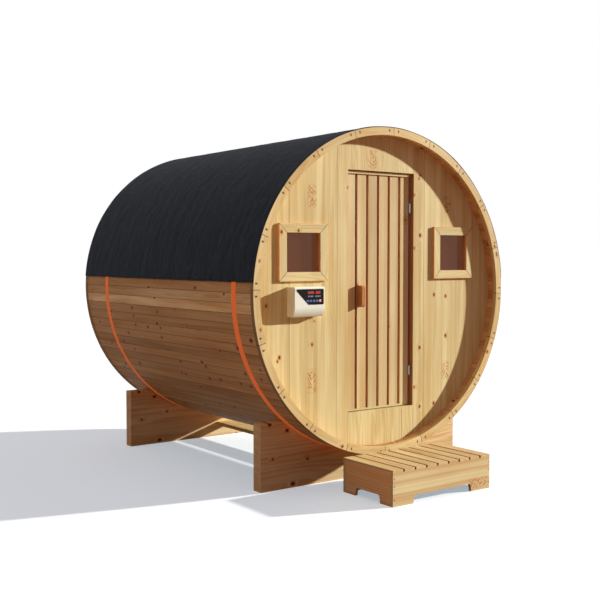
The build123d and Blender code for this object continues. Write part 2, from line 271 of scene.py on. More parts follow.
def wood(finish, along, across, depth, board, pale, deep, knot_edge, contrast=0.30, board_tint=0.07,
         ring_pitch=0.0042, sway=1.0, banding=2.1, dark=None, dirt=joint_dirt, crown=None,
         shading_share=None, shading_tone=painted_bounce_tone):
    """Sawn softwood: growth rings cut by the face, bands, fibres and knots.

    A board's number picks its log, so each kind of piece numbers its boards from another start.
    """
    heart_spread = 0.22
    heart_least_depth = 0.018
    heart_depth_range = 0.05
    bend_round_knot = 0.011
    bend_within = 0.034
    halo_within = 0.012
    first, second, third = finish.chance(board)
    other = board * 2.37
    drift = (finish.noise(across * 2.0, along * 0.75, 0.0, other) - 0.5) * (0.075 * sway)
    wander = (finish.noise(across * 26.0, along * 2.6, depth * 26.0, other) - 0.5) * (0.011 * sway)
    push = finish.smooth(bend_within, 0.0, knot_edge) * bend_round_knot
    side = across - (first - 0.5) * heart_spread
    below = depth + (second * heart_depth_range + heart_least_depth)
    reach = finish.distance(side, below) + drift + wander + push
    part = finish.maths("FRACT", reach / ring_pitch)
    late = finish.smooth(0.30, 0.86, part) * finish.smooth(1.0, 0.92, part)
    bands = finish.noise(reach * 46.0, along * 0.7, 0.0, other, 3.0)
    clouds = finish.noise(across * 9.0, along * 2.2, depth * 9.0, other + 5.0)
    fibre = finish.noise(across * 900.0, along * 12.0, depth * 900.0, other, 1.0)
    streaks = finish.noise(across * 150.0 + wander * 150.0, along * 0.9, depth * 150.0, other + 2.0, 2.0)
    share = late * contrast + (bands - 0.5) * banding + (clouds - 0.5) * 0.8 + (streaks - 0.5) * 0.9
    share = share + (fibre - 0.5) * 0.22 + 0.36
    if crown is not None:
        share = share + crown * 0.6
    colour = finish.mix(share, pale, deep)
    if crown is not None:
        colour = finish.mix(crown * 0.78, colour, crown_line)
    colour = finish.scaled(colour, (third - 0.5) * (2.0 * board_tint) + 1.0)
    halo = finish.smooth(halo_within, 0.0, knot_edge)
    core = finish.smooth(0.0020, -0.0016, knot_edge)
    colour = finish.mix(halo * 0.85, colour, knot_rim)
    colour = finish.mix(core * 0.97, colour, knot_heart)
    # Faces set back from a piece's face get a tone of their own here: painted shade on recessed cut edges
    # and on the door's backing, painted bounce light on the sides of the casing and the slats.
    if shading_share is not None:
        colour = finish.mix(shading_share, colour, shading_tone)
    # The dark share darkens joints, and in the ring's countersinks and the step's gaps it is painted shade.
    if dark is not None:
        colour = finish.mix(dark, colour, dirt)
    finish.surface(Base_Color=colour,
                   Roughness=late * -0.10 + (fibre - 0.5) * 0.16 + core * -0.12 + 0.62,
                   Normal=finish.bump(fibre * 0.5 + late * 0.35 - core * 0.6, 0.35, 0.0012))
    return colour


def pine(name):
    """A finish for planed pine that is left bare, with hardly any gloss."""
    return Finish(name, Specular_IOR_Level=0.12)


def dress(finish, *names):
    """Give a finish to CAD nodes."""
    for name in names:
        for slot in nodes[name].material_slots:
            slot.material = finish.material


def level_boards(name, along, across, depth, pale, deep, board_width=0.14, share=0.35, knots=(),
                 crown_places=(), dark_above=None, **more):
    """A finish of planed boards whose grain runs along one of the axes."""
    first_joint_at = 0.013
    finish = pine(name)
    axes = {"x": finish.x, "y": finish.y, "z": finish.z}
    number, _ = cells(finish, axes[across], first_joint_at, board_width)
    # Pieces half a metre apart in depth come from other logs.
    board = number + finish.maths("FLOOR", axes[depth] * 2.0 + 9.0) * 7.0
    edge = strewn_knots(finish, axes[along], axes[across], board, share)
    if knots:
        edge = finish.maths("MINIMUM", edge, placed_knots(finish, axes[along], axes[across], knots))
    if crown_places:
        more["crown"] = crowns(finish, axes[along], axes[across], crown_places)
    if dark_above is not None:
        more["dark"] = (finish.z > dark_above) * 0.8
    wood(finish, axes[along], axes[across], axes[depth] * 0.5, board, pale, deep, edge, **more)
    return finish


pine_pale = shade(225, 209, 155)
pine_deep = shade(195, 164, 101)
cradle_knots = [(0.369, -0.632, 0.008), (0.024, -0.588, 0.010), (0.418, -0.765, 0.008),
                (0.200, -0.742, 0.005), (0.240, 0.690, 0.007), (0.090, 0.560, 0.006)]

cradle_pine = level_boards("cradle_pine", "x", "z", "y", shade(240, 220, 170), shade(208, 158, 98),
                           board_width=0.142, share=0.12, knots=cradle_knots,
                           contrast=0.34, ring_pitch=0.0115, banding=1.5)
dress(cradle_pine, "cradle_front", "cradle_rear")
plank_pine = level_boards("plank_pine", "y", "x", "z", pine_pale, pine_deep, board_width=0.2)
dress(plank_pine, "cradle_plank")


# Staves
# 104 coopered pine staves with a tongue and a groove, planed flat outside and in, oiled on the outside.
# The end rings and the straps hold them, and the end walls sit in the grooves cut across them.

ring_outer = 1.050
barrel_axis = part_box("ring_front")[1].z - ring_outer
stave_count = 104
stave_angle = math.tau / stave_count
first_joint = math.radians(0.6)
stave_width = 0.063
half_stave = stave_width / 2
stave_inner = 1.000
stave_outer = 1.044
oil_from = 1.012
oil_full = 1.022
stave_oil_pale = shade(227, 194, 138)
stave_oil_deep = shade(189, 142, 82)
# The bare inside faces are a redder, darker pine than the walls: painted shade for the barrel's inside.
stave_inside_shaded_pale = shade(222, 172, 120)
stave_inside_shaded_deep = shade(186, 124, 76)

stave_pine = Finish("stave_pine", Specular_IOR_Level=0.08)
stave_height = stave_pine.z - barrel_axis
turn = stave_pine.maths("ARCTAN2", stave_height, stave_pine.x * -1.0)
reach = stave_pine.distance(stave_height, stave_pine.x)
stave, stave_turn = cells(stave_pine, turn, first_joint, stave_angle)
stave_across = stave_turn * stave_outer
outside = stave_pine.smooth(oil_from, oil_full, reach)
stave_board = stave + 200.0
stave_pale = stave_pine.mix(outside, stave_inside_shaded_pale, stave_oil_pale)
stave_deep = stave_pine.mix(outside, stave_inside_shaded_deep, stave_oil_deep)

# Two pale grey boards and a tan one lie below the felt on the left, above warmer boards with knots.
# The ramp holds half of each tint, and has a hundredth of its length for a stave.
plain_tint = (0.50, 0.50, 0.50, 1.0)
stave_tints = [(-2, (0.70, 0.84, 0.98, 1.0)), (-1, (0.60, 0.67, 0.74, 1.0)),
               (0, (0.48, 0.47, 0.46, 1.0)), (1, plain_tint)]
tint_step = 0.01
tint_start = 0.515
tint_stops = [(0.0, plain_tint)] + [(number * tint_step + tint_start, tint) for number, tint in stave_tints]
tint_place = (stave + 0.5) * tint_step + tint_start
stave_tone = stave_pine.node("ValToRGB", {"stops": tint_stops}, {"Fac": tint_place})
stave_tone.socket.node.color_ramp.interpolation = "CONSTANT"
stave_tone = stave_pine.scaled(stave_tone, 2.0)

# Knots of the left side, each by its row of staves, its place along them and its radius.
stave_knot_places = [(-4.36, 0.651, 0.007), (-4.46, 0.461, 0.008), (-5.49, 0.807, 0.006),
                     (-5.51, 0.290, 0.007), (-3.85, -0.109, 0.004), (-4.48, -0.854, 0.011),
                     (-5.50, -0.682, 0.009), (-7.78, -0.158, 0.008), (-9.74, 0.220, 0.005),
                     (-9.88, -0.148, 0.007), (-9.77, -0.292, 0.007), (-8.32, -0.656, 0.007),
                     (-9.84, -0.642, 0.007), (-14.1, -0.177, 0.007), (-7.61, 0.805, 0.005),
                     (-9.81, 0.862, 0.005)]
stave_knots = strewn_knots(stave_pine, stave_pine.y, stave_across, stave_board, 0.30)
stave_row = (turn - first_joint) * (stave_width / stave_angle)
own_knots = placed_knots(stave_pine, stave_pine.y, stave_row,
                         [(row * stave_width, along, radius) for row, along, radius in stave_knot_places])
stave_knots = stave_pine.maths("MINIMUM", stave_knots, own_knots)
stave_seam = stave_pine.smooth(half_stave - 0.0030, half_stave - 0.0012, abs(stave_across)) * outside
colour = wood(stave_pine, stave_pine.y, stave_across, reach - stave_inner, stave_board, stave_pale,
              stave_deep, stave_knots, board_tint=0.13, dark=stave_seam * 0.55)
toned = stave_pine.node("VectorMath", {"operation": "MULTIPLY"}, {0: colour, 1: stave_tone})
stave_pine.surface(Base_Color=stave_pine.mix(outside, colour, toned))
dress(stave_pine, "staves_odd", "staves_even")


# End rings and their screws
# Twenty sawn blocks close each end of the barrel, butted with a fine joint and held to the staves'
# end grain by two countersunk screws each. Planed pine, with the grain along each block.

ring_blocks = 20
block_angle = math.tau / ring_blocks
half_block = block_angle / 2
ring_joint = math.radians(1.8)
ring_middle = 1.025
screw_from_joint = 0.0372

ring_pine = pine("ring_pine")
ring_height = ring_pine.z - barrel_axis
turn = ring_pine.maths("ARCTAN2", ring_pine.x, ring_height)
reach = ring_pine.distance(ring_height, ring_pine.x)
block, block_turn = cells(ring_pine, turn, ring_joint, block_angle)
block_along = reach * ring_pine.maths("SINE", block_turn)
block_across = reach * ring_pine.maths("COSINE", block_turn) - ring_middle
joint_line = ring_pine.smooth(0.0026, 0.0012, (half_block - abs(block_turn)) * ring_middle)
block_number = block + 60.0 + (ring_pine.y > 0.0) * 31.0
ring_knots = strewn_knots(ring_pine, block_along, block_across, block_number, 0.25)
# The joint lines and the outer rim are darker, and a darker disc round each screw is painted shade in its
# countersink.
rim = ring_pine.smooth(ring_outer - 0.0022, ring_outer - 0.0008, reach)
screw_along = abs(block_along) - (half_block * ring_middle - screw_from_joint)
countersink_shade = ring_pine.smooth(0.0090, 0.0050, ring_pine.distance(screw_along, block_across))
ring_dark_marks = ring_pine.maths("MAXIMUM", joint_line * 0.95, rim * 0.6)
ring_dark_marks = ring_pine.maths("MAXIMUM", ring_dark_marks, countersink_shade * 0.85)
wood(ring_pine, block_along, block_across, ring_pine.y, block_number, shade(225, 202, 146),
     shade(200, 160, 94), ring_knots, dark=ring_dark_marks)
dress(ring_pine, "ring_front", "ring_back")


def lofted(name, rings, more_faces):
    """A mesh through rings of as many points each, and more faces, each a ring and numbers of its points."""
    mesh = bpy.data.meshes.new(name)
    shape = bmesh.new()
    rows = [[shape.verts.new(point) for point in ring] for ring in rings]
    for low, high in zip(rows, rows[1:]):
        for number in range(len(low)):
            after = (number + 1) % len(low)
            shape.faces.new((low[number], high[number], high[after], low[after]))
    for ring, numbers in more_faces:
        shape.faces.new([rows[ring][number] for number in numbers])
    bmesh.ops.recalc_face_normals(shape, faces=shape.faces)
    shape.to_mesh(mesh)
    shape.free()
    return mesh


def screw_mesh(name, radius, rise, slot):
    """A small screw head, facing +Z, with a cross-shaped recess where slot is its half width."""
    arm = radius * 0.62
    skirt = radius * 0.3
    recess = radius * 0.35
    cross = [(slot, arm), (slot, slot), (arm, slot), (arm, -slot), (slot, -slot), (slot, -arm),
             (-slot, -arm), (-slot, -slot), (-arm, -slot), (-arm, slot), (-slot, slot), (-slot, arm)]
    angles = [math.atan2(y, x) for x, y in cross]
    rim = [(radius * math.cos(angle), radius * math.sin(angle)) for angle in angles]
    outlines = [(rim, -skirt), (rim, 0.0), (cross, rise), (cross, rise - recess)]
    rings = [[(x, y, z) for x, y in outline] for outline, z in outlines]
    recess_floor = [(1, 4, 7, 10), (0, 1, 10, 11), (1, 2, 3, 4), (4, 5, 6, 7), (7, 8, 9, 10)]
    return lofted(name, rings, [(-1, numbers) for numbers in recess_floor])


def heads_tree(name, head, finish):
    """A tree that sets one head on each point, turned to the way the point faces."""
    tree = bpy.data.node_groups.new(name, "GeometryNodeTree")
    tree.interface.new_socket("Geometry", in_out="INPUT", socket_type="NodeSocketGeometry")
    size = tree.interface.new_socket("Size", in_out="INPUT", socket_type="NodeSocketFloat")
    seed = tree.interface.new_socket("Seed", in_out="INPUT", socket_type="NodeSocketInt")
    tree.interface.new_socket("Geometry", in_out="OUTPUT", socket_type="NodeSocketGeometry")
    size.default_value = 1.0
    seed.default_value = 7

    def add(kind, **settings):
        made = tree.nodes.new(kind)
        for setting, value in settings.items():
            setattr(made, setting, value)
        return made

    start = add("NodeGroupInput")
    end = add("NodeGroupOutput")
    facing = add("GeometryNodeInputNamedAttribute", data_type="FLOAT_VECTOR")
    facing.inputs["Name"].default_value = "facing"
    aim = add("FunctionNodeAlignRotationToVector", axis="Z")
    spin = add("FunctionNodeRandomValue", data_type="FLOAT")
    spin_value = add("FunctionNodeAxisAngleToRotation")
    turned = add("FunctionNodeRotateRotation", rotation_space="LOCAL")
    piece = add("GeometryNodeObjectInfo")
    piece.inputs["Object"].default_value = head
    on_points = add("GeometryNodeInstanceOnPoints")
    real = add("GeometryNodeRealizeInstances")
    paint = add("GeometryNodeSetMaterial")
    paint.inputs["Material"].default_value = finish.material
    found(spin.inputs, "Max_001").default_value = math.tau
    links = [(facing.outputs[0], aim.inputs["Vector"]),
             (start.outputs["Seed"], found(spin.inputs, "Seed")),
             (found(spin.outputs, "Value_001"), spin_value.inputs["Angle"]),
             (aim.outputs[0], turned.inputs["Rotation"]),
             (spin_value.outputs[0], turned.inputs["Rotate By"]),
             (start.outputs["Geometry"], on_points.inputs["Points"]),
             (piece.outputs["Geometry"], on_points.inputs["Instance"]),
             (turned.outputs[0], on_points.inputs["Rotation"]),
             (start.outputs["Size"], on_points.inputs["Scale"]),
             (on_points.outputs[0], real.inputs[0]),
             (real.outputs[0], paint.inputs["Geometry"]),
             (paint.outputs[0], end.inputs[0])]
    for source, target in links:
        tree.links.new(source, target)
    return tree


def add_object(name, data):
    """A new object in the scene, at the origin."""
    made = bpy.data.objects.new(name, data)
    bpy.context.collection.objects.link(made)
    return made


def grown(name, mesh, tree, body, **inputs):
    """The plain mesh that a Geometry Nodes tree makes from a mesh, riding on a body."""
    carrier = add_object(name, mesh)
    modifier = carrier.modifiers.new(name, "NODES")
    modifier.node_group = tree
    for item in tree.interface.items_tree:
        if item.in_out == "INPUT" and item.name in inputs:
            modifier[item.identifier] = inputs[item.name]
    graph = bpy.context.evaluated_depsgraph_get()
    made = bpy.data.meshes.new_from_object(carrier.evaluated_get(graph), depsgraph=graph)
    carrier.modifiers.clear()
    carrier.data = made
    made.name = name
    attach(carrier, body)
    return carrier


def points_mesh(name, points):
    """Loose points, each a place and the way it faces."""
    mesh = bpy.data.meshes.new(name)
    mesh.from_pydata([place for place, _ in points], [], [])
    facing = mesh.attributes.new("facing", "FLOAT_VECTOR", "POINT")
    for number, (_, way) in enumerate(points):
        facing.data[number].vector = way
    return mesh


def hidden_pattern(mesh):
    """An object that a tree copies. It isn't part of the scene."""
    return bpy.data.objects.new(mesh.name, mesh)


screw_radius = 0.0052
screw_sunk = 0.0002
screw_steel = Finish("screw_steel", Specular_IOR_Level=0.12)
tarnish = screw_steel.grain(300.0, 3.0)
screw_steel.surface(Base_Color=screw_steel.mix(tarnish, shade(30, 22, 18), shade(16, 12, 10)),
                    Roughness=tarnish * 0.25 + 0.50)
screw_head = hidden_pattern(screw_mesh("screw_head", screw_radius, rise=0.0006, slot=0.0007))
screws_tree = heads_tree("screws", screw_head, screw_steel)

ring_front_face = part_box("ring_front")[0].y
ring_back_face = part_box("ring_back")[1].y
ring_screws = []
for face, way in ((ring_front_face, -1.0), (ring_back_face, 1.0)):
    for number in range(ring_blocks):
        for side in (-1.0, 1.0):
            angle = ring_joint + number * block_angle + side * screw_from_joint / ring_middle
            x = ring_middle * math.sin(angle)
            z = barrel_axis + ring_middle * math.cos(angle)
            ring_screws.append(((x, face - way * screw_sunk, z), (0.0, way, 0.0)))
grown("ring_screws", points_mesh("ring_screws", ring_screws), screws_tree, "cabin", Size=1.0)


# End walls
# Glued pine boards set on end, let into the grooves of the staves. The front one is cut round the
# doorway and the windows. Only some of its joints show, as hairlines.

wall_board = 0.092
wall_first = -0.276
wall_seams = [(-0.736, 0.0, 3.0), (-0.368, 0.0, 3.0), (0.376, 0.0, 3.0), (0.218, 2.0, 3.0),
              (0.182, 0.0, 0.45), (0.283, 0.0, 0.45), (-0.279, 0.0, 0.468)]
wall_knots = [(-0.848, 1.716, 0.004), (-0.280, 1.897, 0.005), (-0.810, 0.855, 0.007), (-0.824, 0.832, 0.004),
              (-0.906, 1.169, 0.006), (-0.564, 0.921, 0.005), (0.336, 2.003, 0.006), (0.327, 1.981, 0.004),
              (0.339, 1.604, 0.008), (0.472, 1.204, 0.007), (0.580, 1.192, 0.006), (0.582, 0.920, 0.007),
              (0.341, 0.851, 0.007), (0.344, 0.452, 0.006), (0.473, 0.463, 0.006), (0.289, 1.519, 0.004),
              (0.292, 0.587, 0.004), (0.286, 1.871, 0.004)]
wall_crowns = [(-0.565, 1.833, 0.075, 1.0), (-0.564, 0.694, 0.085, -1.0), (-0.076, 2.085, 0.07, -1.0),
               (0.581, 0.682, 0.07, 1.0), (0.589, 1.814, 0.07, -1.0), (-0.564, 1.10, 0.05, 1.0)]

wall_pine = pine("wall_pine")
board, _ = cells(wall_pine, wall_pine.x, wall_first, wall_board)
at_back = wall_pine.y > 0.0
board = board + at_back * 40.0 + 20.0
hairline = 0.0
for seam, low, high in wall_seams:
    there = (wall_pine.z > low) * (wall_pine.z < high)
    hairline = hairline + wall_pine.smooth(0.0022, 0.0010, abs(wall_pine.x - seam)) * there

# The cut edges round the doorway and the windows, from just behind the wall's face, are darkened to a redder
# brown: painted shade on these recessed faces.
face_skin = 0.0012
cut_margin = 0.002
wall_low, wall_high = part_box("front_wall_left")
sill_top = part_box("front_wall_sill")[1].z
pane_low, pane_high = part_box("window_glass_left")
behind_face = (wall_pine.y > wall_low.y + face_skin) * (wall_pine.y < 0.0)
cut_face = behind_face * (abs(wall_pine.x) < abs(wall_high.x) + cut_margin / 2)
cut_face = cut_face * (wall_pine.z > sill_top + cut_margin)
in_window = behind_face
for value, low, high in ((abs(wall_pine.x), -pane_high.x, -pane_low.x),
                         (wall_pine.z, pane_low.z, pane_high.z)):
    in_window = in_window * (value > low - cut_margin) * (value < high + cut_margin)
cut_face = cut_face + in_window
knots = placed_knots(wall_pine, wall_pine.z, wall_pine.x, wall_knots)
crown = crowns(wall_pine, wall_pine.z, wall_pine.x, wall_crowns)
wood(wall_pine, wall_pine.z, wall_pine.x, wall_pine.y, board, pine_pale, pine_deep, knots,
     board_tint=0.05, dark=hairline * 0.6, crown=crown, shading_share=cut_face * 0.75, shading_tone=shade(170, 104, 72))
dress(wall_pine, "front_wall_left", "front_wall_right", "front_wall_header", "front_wall_sill", "back_wall")


# Floor
# Spaced pine boards that run along the cabin at the threshold's height, nailed to bearers sawn to the
# barrel's round. Both are left bare.

floor_pine = level_boards("floor_pine", "y", "x", "z", pine_pale, pine_deep, board_width=0.1042)
dress(floor_pine, "floor_boards")
bearer_pine = level_boards("bearer_pine", "x", "z", "y", pine_pale, pine_deep, board_width=0.2)
dress(bearer_pine, "floor_bearers")


# Door frame
# Planed pine jambs, head and threshold with stops, screwed behind the wall. The right jamb carries
# the hinge post.

# The jambs are a darker, redder pine than the head: painted shade for the sides of the doorway.
jamb_pine = level_boards("jamb_pine", "z", "x", "y", shade(186, 128, 94), shade(156, 96, 66),
                         board_width=0.3, share=0.15)
dress(jamb_pine, "door_jamb_left", "door_jamb_right")
head_pine = level_boards("head_pine", "x", "z", "y", pine_pale, pine_deep, board_width=0.3, share=0.15)
dress(head_pine, "door_head", "door_threshold")


# Windows
# A mitred pine casing on the wall's face, a bronze-tinted double pane in a rebate, and a mitred bead
# that holds the pane from inside. They don't open.

casing_knots = [(-0.805, 1.610, 0.006), (-0.679, 1.620, 0.005)]


def mitred_finish(name, box):
    """Pine frames on both sides of the door whose members have the grain along them, up to the mitres."""
    finish = pine(name)
    low, high = box
    side = abs(finish.x) - abs(low.x + high.x) / 2
    level = finish.z - (low.z + high.z) / 2
    past_side = abs(side) - (high.x - low.x) / 2
    past_level = abs(level) - (high.z - low.z) / 2
    upright = past_side > past_level
    across = side * upright + level * (1.0 - upright)
    along = level * upright + side * (1.0 - upright)
    board = (side > 0.0) * upright + (level > 0.0) * (1.0 - upright) * 2.0 + upright * 5.0
    board = board + (finish.x > 0.0) * 11.0 + 300.0
    edge = strewn_knots(finish, along, across, board, 0.10)
    edge = finish.maths("MINIMUM", edge, placed_knots(finish, finish.z, finish.x, casing_knots))
    mitre = finish.smooth(0.0030, 0.0012, abs(past_side - past_level))
    # Faces behind the casing's front, its sides among them, take a warm orange: painted bounce light on
    # sides turned from the sun.
    wood(finish, along, across, finish.y, board, pine_pale, pine_deep, edge, dark=mitre * 0.95,
         shading_share=(finish.y > low.y + face_skin) * 0.8)
    return finish


casing_pine = mitred_finish("casing_pine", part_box("window_frame_left"))
dress(casing_pine, "window_frame_left", "window_frame_right", "window_bead_left", "window_bead_right")

# The pane glows in its own bronze, with soft upright streaks: a painted glow that stands for the room seen
# through it, and keeps sun and shadow off it.
pane_glass = Finish("pane_glass", Specular_IOR_Level=0.22, Alpha=0.86, Emission_Strength=1.0)
streak = pane_glass.noise(pane_glass.x * 60.0, pane_glass.y, pane_glass.z * 1.2, 0.0, 3.0)
bronze = pane_glass.mix(streak, (0.126, 0.046, 0.022, 1.0), (0.092, 0.031, 0.013, 1.0))
pane_glass.surface(Base_Color=pane_glass.scaled(bronze, 0.25), Emission_Color=bronze,
                   Roughness=streak * 0.04 + 0.05)
dress(pane_glass, "window_glass_left", "window_glass_right")


# Door leaf
# Six upright pine slats on a backing board, bare inside and darkened outside with painted shade for the
# gaps, between a top rail that stands proud and a flush bottom rail. A rounded handle is screwed on by the
# opening edge.

leaf_low, leaf_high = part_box("door_backing")
leaf_width = leaf_high.x - leaf_low.x
slat_count = 6
slat_gap = 0.020
slat_pitch = (leaf_width + slat_gap) / slat_count
slat_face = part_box("door_slats")[0].y
backing_boards = 5
backing_width = leaf_width / backing_boards

slat_pine = pine("slat_pine")
slat, slat_across = cells(slat_pine, slat_pine.x, leaf_low.x - slat_gap / 2, slat_pitch)
slat_board = slat + 80.0
slat_knots = strewn_knots(slat_pine, slat_pine.z, slat_pine.x, slat_board, 0.12)
# The slats' faces behind their front, the sides in the gaps among them, take a warm orange: painted bounce
# light.
wood(slat_pine, slat_pine.z, slat_across, slat_pine.y, slat_board, shade(224, 207, 160),
     shade(194, 160, 104), slat_knots, contrast=0.34, ring_pitch=0.011, sway=0.06, banding=1.5,
     shading_share=(slat_pine.y > slat_face + face_skin) * 0.8, shading_tone=shade(216, 156, 106))
dress(slat_pine, "door_slats")
rail_pine = level_boards("rail_pine", "x", "z", "y", pine_pale, pine_deep, board_width=0.5, share=0.1)
dress(rail_pine, "door_top_rail", "door_bottom_rail")

backing_pine = pine("backing_pine")
board, board_across = cells(backing_pine, backing_pine.x, leaf_low.x, backing_width)
board = board + 500.0
backing_knots = strewn_knots(backing_pine, backing_pine.z, backing_pine.x, board, 0.3)
board_joint = backing_pine.smooth(0.0022, 0.0008, backing_width / 2 - abs(board_across))
# The backing's outer face is darkened to a deep maroon: painted shade in the gaps between the slats.
wood(backing_pine, backing_pine.z, board_across, backing_pine.y, board, pine_pale, pine_deep,
     backing_knots, dark=board_joint * 0.7, shading_share=(backing_pine.y < leaf_low.y + face_skin) * 0.92,
     shading_tone=shade(80, 36, 25))
dress(backing_pine, "door_backing")
handle_wood = level_boards("handle_wood", "z", "x", "y", shade(184, 126, 76), shade(166, 108, 60),
                           board_width=0.5, share=0.0)
dress(handle_wood, "door_handle")


# Hinges
# Two small knuckle hinges of bright steel, worn dull in places: one leaf is on the post with the pin,
# the other on the door's edge.

hinge_steel = Finish("hinge_steel", Metallic=0.9)
wear = hinge_steel.noise(hinge_steel.x * 260.0, hinge_steel.y * 260.0, hinge_steel.z * 90.0, 0.0, 4.0)
hinge_steel.surface(Base_Color=hinge_steel.mix(wear, shade(166, 164, 154), shade(140, 137, 128)),
                    Roughness=wear * 0.25 + 0.30,
                    Normal=hinge_steel.bump(wear, 0.15, 0.0005))
dress(hinge_steel, "hinge_jamb_leaves", "hinge_door_leaves")


# Control box
# A moulded cream plastic case with a fine orange-peel skin, screwed to the wall, and a dark printed
# display with lit figures, marks and keys in its upper right corner.

case_plastic = Finish("case_plastic", Specular_IOR_Level=0.25)
orange_peel = case_plastic.grain(700.0)
case_plastic.surface(Base_Color=case_plastic.mix(orange_peel, shade(238, 240, 224), shade(230, 231, 212)),
                     Roughness=orange_peel * 0.10 + 0.40,
                     Normal=case_plastic.bump(orange_peel, 0.12, 0.0004))
dress(case_plastic, "control_box")
display_plastic = Finish("display_plastic", Specular_IOR_Level=0.15)
haze = display_plastic.noise(display_plastic.x * 60.0, display_plastic.y, display_plastic.z * 60.0)
display_plastic.surface(Base_Color=display_plastic.mix(haze, shade(12, 12, 14), shade(20, 20, 22)),
                        Roughness=haze * 0.1 + 0.18)
dress(display_plastic, "control_display")

display_low, display_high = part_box("control_display")
glyph_rise = 0.0004

# The bars of a figure, each by its middle along and up the figure, and whether it lies level.
digit_bars = [(0.5, 1.0, True), (0.0, 0.75, False), (1.0, 0.75, False), (0.5, 0.5, True),
              (0.0, 0.25, False), (1.0, 0.25, False), (0.5, 0.0, True)]
lit_bars = {"0": (0, 1, 2, 4, 5, 6), "6": (0, 1, 3, 4, 5, 6), "8": range(7), "5": (0, 1, 3, 5, 6)}
digit_width = 0.0065
digit_height = 0.0125
digit_pitch = 0.0118
bar_width = 0.0022


def digit_tiles(figures, left, bottom):
    """The bars of a row of numbers, each as its middle, width and height, from the plate's upper right."""
    tiles = []
    for place, figure in enumerate(figures):
        for bar in lit_bars[figure]:
            along, up, level = digit_bars[bar]
            x = left + place * digit_pitch + along * digit_width
            long_way = digit_width if level else digit_height / 2
            size = (long_way, bar_width) if level else (bar_width, long_way)
            tiles.append((x, bottom + up * digit_height, *size))
    return tiles


def tile_row(left, pitch, height, size):
    """Four equal tiles in a row."""
    return [(left + number * pitch, height, *size) for number in range(4)]


def raised_tiles(name, tiles, pale, deep, glow):
    """Small printed tiles that stand a hair proud of the display."""
    shape = bmesh.new()
    for x, z, width, height in tiles:
        middle = Vector((display_high.x + x, display_low.y, display_high.z + z))
        made = bmesh.ops.create_cube(shape, size=1.0)["verts"]
        bmesh.ops.scale(shape, vec=(width, 2.0 * glyph_rise, height), verts=made)
        bmesh.ops.translate(shape, vec=middle, verts=made)
    mesh = bpy.data.meshes.new(name)
    shape.to_mesh(mesh)
    shape.free()
    ink = Finish(name, Emission_Strength=glow)
    tone = ink.noise(ink.x * 300.0, ink.y, ink.z * 300.0)
    colour = ink.mix(tone, pale, deep)
    ink.surface(Base_Color=colour, Emission_Color=colour, Roughness=tone * 0.1 + 0.3)
    mesh.materials.append(ink.material)
    piece = add_object(name, mesh)
    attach(piece, "cabin")


digit_base = -0.0275
mark_level = -0.044
mark_size = (0.006, 0.0085)
key_level = -0.0715
digits = digit_tiles("0085", -0.118, digit_base) + digit_tiles("060", -0.059, digit_base)
raised_tiles("display_digits", digits, shade(226, 78, 44), shade(196, 56, 34), 0.45)
marks = tile_row(-0.116, 0.0105, mark_level, mark_size) + tile_row(-0.061, 0.0105, mark_level, mark_size)
raised_tiles("display_marks", marks, shade(150, 150, 158), shade(118, 118, 128), 0.2)
keys = tile_row(-0.122, 0.0243, key_level, (0.017, 0.012))
raised_tiles("display_keys", keys, shade(74, 92, 150), shade(54, 70, 122), 0.3)
lamp = [(-0.027, key_level, 0.013, 0.014)]
raised_tiles("display_lamp", lamp, shade(240, 150, 120), shade(226, 124, 92), 0.6)


# Roof felt
# One wide sheet of granule-faced bitumen felt, laid over the rings and staves from side to side and
# nailed along its lower edges. Fine wrinkles run round the barrel, and along it near the top.

felt_low, felt_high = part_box("roof_felt")
felt_outer = felt_high.z - barrel_axis
felt_thickness = 0.003
felt_edge_height = felt_low.z - barrel_axis
felt_end = math.acos(felt_edge_height / felt_outer)
felt_length = felt_high.y - felt_low.y
steps_round = 150
steps_along = 280
felt_lie = 0.0009
fold_height = 0.0022
folds_a_metre = 13.0
ripple_height = 0.0011
ripples_a_metre = 34.0


def wrinkle(turn, along):
    """How far the felt lies below its smooth outside, in metres, and less than 0 where it stands proud."""
    drift = noise.noise(Vector((turn * 1.3, along * 1.1, 4.0))) * 0.16
    drift += noise.noise(Vector((turn * 5.0, along * 4.0, 7.0))) * 0.05
    folds = noise.noise(Vector((turn * 2.6, (along + drift) * folds_a_metre, 0.0)))
    ripples = noise.noise(Vector((turn * 6.0, (along + drift) * ripples_a_metre, 9.0)))
    return felt_lie + folds * fold_height + ripples * ripple_height


felt_shape = bmesh.new()
rows = []
for step in range(steps_round + 1):
    turn = -felt_end + 2.0 * felt_end * step / steps_round
    row = []
    for along_step in range(steps_along + 1):
        along = felt_length * along_step / steps_along
        out = felt_outer - wrinkle(turn, along)
        row.append(felt_shape.verts.new((out * math.sin(turn), felt_low.y + along,
                                         barrel_axis + out * math.cos(turn))))
    rows.append(row)
for before, after in zip(rows, rows[1:]):
    for place in range(steps_along):
        felt_shape.faces.new((before[place], after[place], after[place + 1], before[place + 1]))
bmesh.ops.recalc_face_normals(felt_shape, faces=felt_shape.faces)
felt_mesh = bpy.data.meshes.new("felt_sheet")
felt_shape.to_mesh(felt_mesh)
felt_shape.free()
felt_sheet = add_object("felt_sheet", felt_mesh)
# The sheet is open, so its top shows which way its faces point.
top_face = felt_mesh.polygons[len(felt_mesh.polygons) // 2]
if top_face.normal.z < 0.0:
    felt_mesh.flip_normals()
thick = felt_sheet.modifiers.new("thickness", "SOLIDIFY")
thick.thickness = felt_thickness
thick.offset = -1.0
for polygon in felt_mesh.polygons:
    polygon.use_smooth = True

